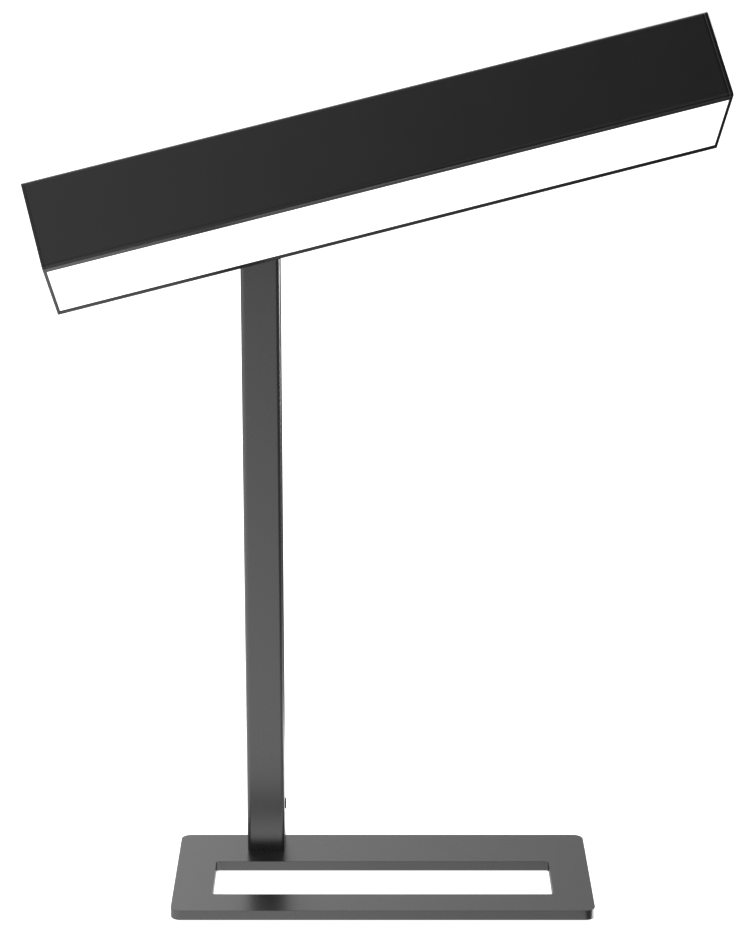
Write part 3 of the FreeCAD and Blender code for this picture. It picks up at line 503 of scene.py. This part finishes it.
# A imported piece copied, its loose triangles merged into clean faces, and its edges rounded.
def softened(name, node, width, segments=3, sharp=joining["sharpFrom"]):
    source = nodes[node]
    work = bmesh.new()
    work.from_mesh(source.data)
    bmesh.ops.remove_doubles(work, verts=work.verts, dist=joining["packedMesh"])
    bmesh.ops.dissolve_limit(work, angle_limit=math.radians(joining["flatWithin"]),
                             verts=work.verts, edges=work.edges)
    mesh = bpy.data.meshes.new(name)
    work.to_mesh(mesh)
    work.free()
    made = piece(name, mesh, finishName[node], source["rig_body"], [node], sharp, keepNormals=True)
    bevel = made.modifiers.new("edge", "BEVEL")
    bevel.width = width
    bevel.segments = segments
    bevel.limit_method = "ANGLE"
    bevel.angle_limit = math.radians(sharp)
    bevel.use_clamp_overlap = True
    bevel.harden_normals = True
    flatFaces(made)
    return made


# Closed outline with round corners: each corner gives way to an arc that touches both its sides,
# of the radius given for it. The arc's points are the centre plus radius times cosine and sine.
def roundedOutline(corners, radii, steps=6):
    corners = np.array(corners, float)
    before = np.roll(corners, 1, axis=0)
    after = np.roll(corners, -1, axis=0)
    inward = before - corners
    outward = after - corners
    inward /= np.linalg.norm(inward, axis=1, keepdims=True)
    outward /= np.linalg.norm(outward, axis=1, keepdims=True)
    half = np.arccos(np.clip((inward * outward).sum(1), -1, 1)) / 2
    radii = np.broadcast_to(np.asarray(radii, float), (len(corners),))
    middle = inward + outward
    middle /= np.linalg.norm(middle, axis=1, keepdims=True)
    centre = corners + middle * (radii / np.sin(half))[:, None]
    start = corners + inward * (radii / np.tan(half))[:, None] - centre
    end = corners + outward * (radii / np.tan(half))[:, None] - centre
    sweep = np.pi - 2 * half
    turn = np.sign(start[:, 0] * end[:, 1] - start[:, 1] * end[:, 0])
    angle = turn[:, None] * sweep[:, None] * np.linspace(0, 1, steps)[None, :]
    x = start[:, :1] * np.cos(angle) - start[:, 1:] * np.sin(angle)
    y = start[:, :1] * np.sin(angle) + start[:, 1:] * np.cos(angle)
    return (centre[:, None, :] + np.stack([x, y], axis=-1)).reshape(-1, 2)


# Insets and heights of a rounded edge: a quarter circle of the given radius.
def roundEdge(radius, steps=4):
    angle = np.linspace(0, np.pi / 2, steps)
    return radius * (1 - np.sin(angle)), radius * (1 - np.cos(angle))


# Turned piece: each ring has a height along the axis, a radius and a share of hexagon. A point's
# distance from the axis is the radius times one, blended by that share towards the hexagon's own
# distance, cos(30) / cos(angle within its side).
def turnedMesh(name, rings, origin, axis, around=48, closed=False):
    axis = Vector(axis).normalized()
    side = axis.orthogonal().normalized()
    if abs(axis.z) < 0.9:
        side = Vector((0, 0, 1)) - axis * axis.z
        side.normalize()
    other = axis.cross(side)
    rings = np.array(rings, float)
    angle = np.arange(around) * 2 * np.pi / around
    within = np.mod(angle, np.pi / 3) - np.pi / 6
    hexagon = np.cos(np.pi / 6) / np.cos(within)
    share = rings[:, 2:3]
    distance = rings[:, 1:2] * ((1 - share) + share * hexagon[None, :])
    points = (np.array(origin)[None, None, :] + rings[:, 0][:, None, None] * np.array(axis)
              + (distance * np.cos(angle))[..., None] * np.array(side)
              + (distance * np.sin(angle))[..., None] * np.array(other))
    if closed:
        points = np.concatenate([points, points[:1]])
    return gridMesh(name, points, closeRows=True, capFirst=not closed, capLast=not closed)


# Rings of a screw or pin with a hexagon socket: rounded head on the outside, shank inwards.
def screwRings(head, headHeight, socket, socketDepth, shank, length, edge=0.35 * mm):
    inset, drop = roundEdge(edge)
    rings = [(-headHeight - length, shank - edge, 0), (-headHeight - length + edge, shank, 0),
             (-headHeight, shank, 0), (-headHeight, head, 0)]
    rings += [(-fall, head - shrink, 0) for shrink, fall in zip(inset[::-1], drop[::-1])]
    rings += [(0, socket * 1.12, 0), (-0.1 * mm, socket * 1.03, 1), (-socketDepth, socket, 1),
              (-socketDepth - 0.25 * mm, socket * 0.4, 0.5)]
    return rings


# The head

headCase = {
    "wall": 1.5 * mm,
    "corner": 2.2 * mm,
    "lipWidth": 5.2 * mm,
    "lipThick": 1.0 * mm,
    "lipRound": 0.25 * mm,
    "seam": 0.18 * mm,
    "capRound": 0.65 * mm,
    "diffuserGap": 0.4 * mm,
    "diffuserRound": 0.3 * mm,
    "arcPoints": 7,
    "shellSharp": 30.0,
    "capSharp": 28.0,
}


# A closed outline across the head, drawn smaller by the seam at both ends and run along the head.
def alongHead(name, start, end, profile, seam):
    rings = []
    for x, inset in ((start, seam), (start + seam, 0), (end - seam, 0), (end, seam)):
        corners, radii = profile(inset)
        outline = roundedOutline(corners, radii, headCase["arcPoints"])
        rings.append(placed(np.column_stack([np.full(len(outline), x), outline]), headFrame))
    return gridMesh(name, np.array(rings), closeRows=True, capFirst=True, capLast=True)


# Walls and roof of the case, open below between two lips.
def makeHeadShell():
    low, high = boxIn("head_shell", headFrame)
    wall, corner, lip = headCase["wall"], headCase["corner"], headCase["lipRound"]

    def profile(inset):
        front, rear = low[1] + inset, high[1] - inset
        foot, roof = low[2] + inset, high[2] - inset
        frontIn, rearIn = low[1] + wall - inset, high[1] - wall + inset
        frontLip, rearLip = frontIn + headCase["lipWidth"], rearIn - headCase["lipWidth"]
        roofIn, lipTop = high[2] - wall + inset, low[2] + headCase["lipThick"] - inset
        corners = [(front, foot), (front, roof), (rear, roof), (rear, foot),
                   (rearLip, foot), (rearLip, lipTop), (rearIn, lipTop), (rearIn, roofIn),
                   (frontIn, roofIn), (frontIn, lipTop), (frontLip, lipTop), (frontLip, foot)]
        return corners, [corner - inset] * 4 + [lip, lip, lip / 2, lip, lip, lip / 2, lip, lip]

    mesh = alongHead("headShell", low[0], high[0], profile, headCase["seam"])
    flatFaces(piece("headShell", mesh, "head", "head", ["head_shell"], headCase["shellSharp"]))
    softened("endCapLeft", "end_cap_left", headCase["capRound"], 4, headCase["capSharp"])
    softened("endCapRight", "end_cap_right", headCase["capRound"], 4, headCase["capSharp"])


# The sheet lies on the lips, and its middle reaches down between them.
def makeDiffuser():
    low, high = boxIn("diffuser", headFrame)
    shellLow, shellHigh = boxIn("head_shell", headFrame)
    step = headCase["wall"] + headCase["lipWidth"] + headCase["diffuserGap"]
    lipTop = shellLow[2] + headCase["lipThick"]
    edge = headCase["diffuserRound"]

    def profile(inset):
        frontStep, rearStep = shellLow[1] + step + inset, shellHigh[1] - step - inset
        front, rear = low[1] + inset, high[1] - inset
        foot, roof, shelf = low[2] + inset, high[2] - inset, lipTop + inset
        corners = [(frontStep, foot), (frontStep, shelf), (front, shelf), (front, roof),
                   (rear, roof), (rear, shelf), (rearStep, shelf), (rearStep, foot)]
        return corners, [edge, edge / 2, edge / 2, edge, edge, edge / 2, edge / 2, edge]

    mesh = alongHead("diffuserSheet", low[0], high[0], profile, headCase["seam"])
    flatFaces(piece("diffuserSheet", mesh, "opal", "head", ["diffuser"], headCase["shellSharp"]))


# The stand

standEdges = {"base": 0.55 * mm, "column": 0.25 * mm, "columnSharp": 28.0, "yoke": 0.5 * mm,
              "knuckle": 0.5 * mm}


def makeStand():
    softened("basePlate", "base_plate", standEdges["base"], 4)
    softened("columnTube", "column", standEdges["column"], 2, standEdges["columnSharp"])
    softened("yokeBlock", "yoke", standEdges["yoke"])
    softened("knuckleBlock", "knuckle", standEdges["knuckle"])


pad = {"radius": 6.0 * mm, "edge": 0.4 * mm, "hollow": 0.55}


# Round pads, flat below with a soft edge.
def makePads():
    low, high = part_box("foot_pads")
    radius, edge, height = pad["radius"], pad["edge"], high.z - low.z
    rings = [(0, pad["hollow"] * radius, 0), (0, radius - edge, 0),
             (0.15 * edge, radius - 0.3 * edge, 0), (edge, radius, 0),
             (height - edge, radius, 0), (height, radius - edge, 0)]
    pads = [turnedMesh("pad", rings, (x, y, low.z), (0, 0, 1), 40)
            for x in (low.x + radius, high.x - radius) for y in (low.y + radius, high.y - radius)]
    piece("footPads", joined("footPads", pads), "rubber", "stand", ["foot_pads"])


powerSwitch = {
    "radius": 3.4 * mm,
    "stem": 2.0 * mm,
    "flange": 4.2 * mm,
    "flangeBack": 0.85 * mm,
    "flangeThick": 0.8 * mm,
    "round": 0.62 * mm,
    "dish": 0.12 * mm,
    "dishRings": (0.85, 0.6, 0.35, 0.12),
    "lensRound": 0.14 * mm,
    "lensRim": 0.72,
    "lensHollow": 0.62,
    "sharp": 40.0,
}


# The cap has a round rim and a shallow dish, whose depth falls off with the square of the radius.
# The lens has a round rim about a face set back a little.
def makeSwitch():
    low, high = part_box("power_button")
    middle = (low.y + high.y) / 2, (low.z + high.z) / 2
    radius, flange, stem = powerSwitch["radius"], powerSwitch["flange"], powerSwitch["stem"]
    back = powerSwitch["flangeBack"]
    front = back + powerSwitch["flangeThick"]
    inset, drop = roundEdge(powerSwitch["round"], 7)
    length = high.x - low.x
    rings = [(0, stem, 0), (back, stem, 0), (back, flange, 0), (front, flange, 0),
             (front, radius, 0)]
    rings += [(length - fall, radius - shrink, 0) for shrink, fall in zip(inset[::-1], drop[::-1])]
    face = radius - powerSwitch["round"]
    rings += [(length - powerSwitch["dish"] * (1 - share * share), face * share, 0)
              for share in powerSwitch["dishRings"]]
    mesh = turnedMesh("buttonCap", rings, (low.x, middle[0], middle[1]), (1, 0, 0), 64)
    piece("buttonCap", mesh, "button", "button", ["power_button"], powerSwitch["sharp"])

    low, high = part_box("indicator_lens")
    middle = (low.y + high.y) / 2, (low.z + high.z) / 2
    radius, length, edge = (high.y - low.y) / 2, high.x - low.x, powerSwitch["lensRound"]
    rings = [(0, radius * 0.8, 0), (0, radius, 0), (length - edge, radius, 0),
             (length - 0.3 * edge, radius - 0.35 * edge, 0), (length, radius - edge, 0),
             (length, radius * powerSwitch["lensRim"], 0),
             (length - edge, radius * powerSwitch["lensHollow"], 0),
             (length - edge, radius * 0.2, 0)]
    mesh = turnedMesh("indicatorLens", rings, (low.x, middle[0], middle[1]), (1, 0, 0), 48)
    piece("indicatorLens", mesh, "lens", "stand", ["indicator_lens"], powerSwitch["sharp"])


# Fasteners and joint parts

# Radius and height of the head, and radius of the shank
fasteners = {
    "columnHead": (2.8 * mm, 1.6 * mm, 1.5 * mm),
    "baseHead": (4.0 * mm, 2.6 * mm, 2.0 * mm),
    "pinHead": (4.5 * mm, 2.2 * mm, 2.5 * mm),
    "capHead": (2.3 * mm, 0.9 * mm, 1.25 * mm),
    "nut": (4.6 * mm, 2.55 * mm, 0.4 * mm),
    "columnSocket": 0.8 * mm,
    "capSocket": 0.6 * mm,
    "capLength": 8.0 * mm,
    "capEdge": 0.2 * mm,
}


def makeFasteners():
    head, height, shank = fasteners["columnHead"]
    low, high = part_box("column_screws")
    middle = (low.x + high.x) / 2
    length = high.y - low.y - height
    rings = screwRings(head, height, shank, fasteners["columnSocket"], shank, length)
    screws = [turnedMesh("screw", rings, (middle, high.y, z), (0, 1, 0))
              for z in (low.z + head, high.z - head)]
    piece("columnScrews", joined("columnScrews", screws), "blackSteel", "stand", ["column_screws"])

    head, height, shank = fasteners["baseHead"]
    low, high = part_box("base_screws")
    middle = (low.y + high.y) / 2
    rings = screwRings(head, height, head / 2, height / 2, shank, high.z - low.z - height)
    screws = [turnedMesh("screw", rings, (x, middle, low.z), (0, 0, -1))
              for x in (low.x + head, high.x - head)]
    piece("baseScrews", joined("baseScrews", screws), "zinc", "stand", ["base_screws"])

    head, height, shank = fasteners["pinHead"]
    low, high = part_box("tilt_pin")
    rings = screwRings(head, height, shank * 0.8, height / 2, shank, high.x - low.x - height)
    pin = turnedMesh("tiltPin", rings, (low.x, tiltPoint.y, tiltPoint.z), (-1, 0, 0))
    piece("tiltPin", pin, "blackSteel", "stand", ["tilt_pin"])

    low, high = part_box("tilt_nut")
    radius, bore, edge = fasteners["nut"]
    height = high.x - low.x
    rings = [(0, bore, 0), (0, radius - edge, 0.6), (edge, radius, 1), (height - edge, radius, 1),
             (height, radius - 1.5 * edge, 0.3), (height, bore + edge, 0), (height - edge, bore, 0)]
    nut = turnedMesh("tiltNut", rings, (low.x, tiltPoint.y, tiltPoint.z), (1, 0, 0), closed=True)
    piece("tiltNut", nut, "blackSteel", "stand", ["tilt_nut"])

    head, height, shank = fasteners["capHead"]
    start, end = boxIn("end_cap_screws", headFrame)
    left, right = boxIn("end_cap_left", headFrame)[0][0], boxIn("end_cap_right", headFrame)[1][0]
    rings = screwRings(head, height, shank, fasteners["capSocket"], shank, fasteners["capLength"],
                       fasteners["capEdge"])
    screws = []
    for x, way in ((left, -1), (right, 1)):
        for y in (start[1] + head, end[1] - head):
            point = placed([[x, y, end[2] - head]], headFrame)[0]
            screws.append(turnedMesh("screw", rings, point, headAlong * way))
    piece("endCapScrews", joined("endCapScrews", screws), "blackSteel", "head", ["end_cap_screws"])


inlet = {
    "flange": 5.6 * mm,
    "flangeThick": 1.5 * mm,
    "body": 4.0 * mm,
    "depth": 9.0 * mm,
    "bore": 2.75 * mm,
    "boreDepth": 6.5 * mm,
    "boreEdge": 0.3 * mm,
    "pin": 1.0 * mm,
    "edge": 0.35 * mm,
}


# Round socket with a flange outside, a bore and a pin in its middle.
def makeInlet():
    low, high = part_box("power_inlet")
    x, z = (low.x + high.x) / 2, (low.z + high.z) / 2
    flange, thick, body = inlet["flange"], inlet["flangeThick"], inlet["body"]
    bore, boreEdge, pin, edge = inlet["bore"], inlet["boreEdge"], inlet["pin"], inlet["edge"]
    floor = thick - inlet["boreDepth"]
    inset, drop = roundEdge(edge)
    rings = [(-inlet["depth"], body * 0.5, 0), (-inlet["depth"], body, 0), (0, body, 0),
             (0, flange, 0)]
    rings += [(thick - fall, flange - shrink, 0) for shrink, fall in zip(inset[::-1], drop[::-1])]
    rings += [(thick, bore + boreEdge, 0), (thick - boreEdge, bore, 0), (floor, bore, 0),
              (floor, pin, 0), (-edge, pin, 0), (0, pin - edge, 0)]
    mesh = turnedMesh("powerInlet", rings, (x, high.y - thick, z), (0, 1, 0), 56)
    piece("powerInlet", mesh, "blackPlastic", "stand", ["power_inlet"])


makeHeadShell()
makeDiffuser()
print("head made")
makeStand()
makePads()
makeSwitch()
print("stand made")
makeFasteners()
makeInlet()
print("fasteners made")


# Studio

studio = {
    "floorHalf": 4.0,
    "floorWhite": 0.9,
    "floorLift": 0.85,
    "ambient": 0.62,
}
# What a glossy surface sees of the floor: its strengths, and in pairs where one begins and is full,
# in metres along X or Y
floorSeen = {
    "near": 0.78,
    "far": 0.56,
    "farToNear": (-1.2, 0.0),
    "beyond": 0.14,
    "beyondToFar": (-2.7, -2.0),
    "left": 1.15,
    "leftEdge": (-0.122, -0.13),
    "right": 0.75,
    "rightEdge": (-0.1, 0.12),
    "behindNear": 2.2,
    "behindLeft": 0.12,
    "behindRight": 0.03,
    "behindEdge": (0.06, 0.1),
    "behindAway": (0.2, 0.3),
    "behindAcross": (-0.15, 0.3),
    "corner": 0.12,
    "cornerAcross": (0.118, 0.124),
    "cornerFront": (-0.052, -0.058),
    "sideNear": 4.0,
    "sideFar": 0.35,
    "sideAcross": (0.122, 0.128),
    "sideFront": (-0.058, -0.052),
    "sideSlant": 0.35,
    "sideBack": (0.1, 0.02),
    "sideAway": (0.145, 0.18),
}
# What a glossy surface sees of the world, in pairs of a direction's X, Y or Z
worldSeen = {
    "backLeft": 1.2,
    "backRight": 0.42,
    "backAcross": (-0.25, 0.16),
    "backLow": 0.45,
    "backRise": (-0.05, 0.3),
    "highLeft": 0.262,
    "highRight": 0.0,
    "highAcross": (-0.1, 0.02),
    "lowFront": 0.15,
    "frontRise": (0.2, 0.6),
    "frontToBack": (0.2, 0.6),
}


def stagePlane(name, corners, material):
    mesh = bpy.data.meshes.new(name)
    mesh.from_pydata(corners, [], [(0, 1, 2, 3)])
    mesh.materials.append(material)
    plane = bpy.data.objects.new(name, mesh)
    bpy.context.scene.collection.objects.link(plane)


# A glossy surface sees the floor pale in front of the lamp, brighter to its left and dimmer far
# off. Off the front right corner it is dark, and just past the right side brightest. Behind, it is
# bright close by and dark further off. Seen straight on, the matt white floor is lifted to white.
def makeFloor():
    material = bpy.data.materials.new("studioFloor")
    tree = Tree(material)
    links = tree.tree.links
    tree.tree.nodes.clear()
    rays = tree.tree.nodes.new("ShaderNodeLightPath")
    camera = Value(rays.outputs["Is Camera Ray"])
    glossy = Value(rays.outputs["Is Glossy Ray"])
    place = tree.node("TexCoord", output=3)
    split = tree.tree.nodes.new("ShaderNodeSeparateXYZ")
    links.new(place.socket, split.inputs[0])
    x, y = Value(split.outputs[0]), Value(split.outputs[1])
    near = tree.span(tree.ease(y, *floorSeen["farToNear"]), floorSeen["far"], floorSeen["near"])
    reach = tree.ease(y, *floorSeen["beyondToFar"])
    sides = tree.span(tree.ease(x, *floorSeen["rightEdge"]), 1.0, floorSeen["right"])
    sides = sides * tree.span(tree.ease(x, *floorSeen["leftEdge"]), 1.0, floorSeen["left"])
    front = near * reach * sides + (1 - reach) * floorSeen["beyond"]
    back = tree.span(tree.ease(x, *floorSeen["behindAcross"]), floorSeen["behindLeft"],
                     floorSeen["behindRight"])
    back = tree.span(tree.ease(y, *floorSeen["behindAway"]), floorSeen["behindNear"], back)
    seen = tree.span(tree.ease(y, *floorSeen["behindEdge"]), front, back)
    corner = tree.ease(x, *floorSeen["cornerAcross"]) * tree.ease(y, *floorSeen["cornerFront"])
    seen = tree.span(corner, seen, floorSeen["corner"])
    side = tree.ease(x, *floorSeen["sideAcross"]) * tree.ease(y, *floorSeen["sideFront"])
    side = side * tree.ease(y - x * floorSeen["sideSlant"], *floorSeen["sideBack"])
    beside = tree.span(tree.ease(x, *floorSeen["sideAway"]), floorSeen["sideNear"],
                       floorSeen["sideFar"])
    seen = tree.span(side, seen, beside)
    strength = camera * studio["floorLift"] + glossy * seen
    matt = tree.node("BsdfDiffuse", values={"Color": grey(studio["floorWhite"])})
    black = tree.node("BsdfDiffuse", values={"Color": grey(0.0)})
    surface = tree.node("MixShader", values={0: glossy, 1: matt, 2: black})
    glow = tree.node("Emission", values={"Strength": strength})
    whole = tree.node("AddShader", values={0: surface, 1: glow})
    output = tree.tree.nodes.new("ShaderNodeOutputMaterial")
    links.new(whole.socket, output.inputs["Surface"])
    half = studio["floorHalf"]
    stagePlane("studioFloor", [(-half, -half, 0), (half, -half, 0), (half, half, 0),
                               (-half, half, 0)], material)


# The world is white to the camera. A glossy surface sees a pale backdrop behind the lamp that
# dims to the right, a darker ceiling in front that dims to the right as well, and a dark horizon.
def makeWorld():
    world = bpy.data.worlds.new("studioWorld")
    bpy.context.scene.world = world
    tree = Tree(world)
    links = tree.tree.links
    background = tree.tree.nodes["Background"]
    rays = tree.tree.nodes.new("ShaderNodeLightPath")
    camera = Value(rays.outputs["Is Camera Ray"])
    glossy = Value(rays.outputs["Is Glossy Ray"])
    split = tree.tree.nodes.new("ShaderNodeSeparateXYZ")
    links.new(tree.node("TexCoord").socket, split.inputs[0])
    x, y, z = Value(split.outputs[0]), Value(split.outputs[1]), Value(split.outputs[2])
    high = tree.span(tree.ease(x, *worldSeen["backAcross"]), worldSeen["backLeft"],
                     worldSeen["backRight"])
    back = tree.span(tree.ease(z, *worldSeen["backRise"]), worldSeen["backLow"], high)
    high = tree.span(tree.ease(x, *worldSeen["highAcross"]), worldSeen["highLeft"],
                     worldSeen["highRight"])
    front = tree.span(tree.ease(z, *worldSeen["frontRise"]), worldSeen["lowFront"], high)
    seen = tree.span(tree.ease(y, *worldSeen["frontToBack"]), front, back)
    rest = 1 - camera - glossy
    strength = camera + glossy * seen + rest * studio["ambient"]
    links.new(strength.socket, background.inputs["Strength"])
    background.inputs["Color"].default_value = grey(1.0)


# Power, side length, place, aim, and whether a glossy surface sees the light
lights = {
    "keyLeft": (22.0, 1.2, (-1.7, -0.9, 1.5), (0, 0, 0.2), False),
    "topSoft": (9.0, 1.6, (0.1, 0.3, 2.2), (0, 0, 0.2), False),
    "sideSoft": (6.0, 0.4, (1.1, 0.75, 0.2), (0, 0, 0.1), True),
}


def makeLights():
    for name, (power, side, place, aim, glossy) in lights.items():
        light = bpy.data.lights.new(name, "AREA")
        light.energy = power
        light.shape = "RECTANGLE"
        light.size, light.size_y = side, side
        made = bpy.data.objects.new(name, light)
        bpy.context.scene.collection.objects.link(made)
        made.location = place
        made.rotation_euler = (Vector(aim) - Vector(place)).to_track_quat("-Z", "Y").to_euler()
        made.visible_glossy = glossy
        made.visible_camera = False


# The camera stands where the photograph was taken from, square to the lamp's front and pitched
# downwards. The pitch is in degrees, the focal length in pixels of a picture of that height.
photoCamera = {"place": (-0.0061, -1.5918, 0.7095), "pitch": 15.825, "focalPixels": 2842.9,
               "imageHeight": 945, "sensor": 36.0}


def makeCamera():
    data = bpy.data.cameras.new("photoCamera")
    data.sensor_width = photoCamera["sensor"]
    data.lens = photoCamera["focalPixels"] / photoCamera["imageHeight"] * photoCamera["sensor"]
    made = bpy.data.objects.new("photoCamera", data)
    bpy.context.scene.collection.objects.link(made)
    made.location = photoCamera["place"]
    made.rotation_euler = (math.radians(90 - photoCamera["pitch"]), 0, 0)
    bpy.context.scene.camera = made


makeFloor()
makeWorld()
makeLights()
makeCamera()
bpy.context.scene.view_settings.view_transform = "Standard"
print("studio made")
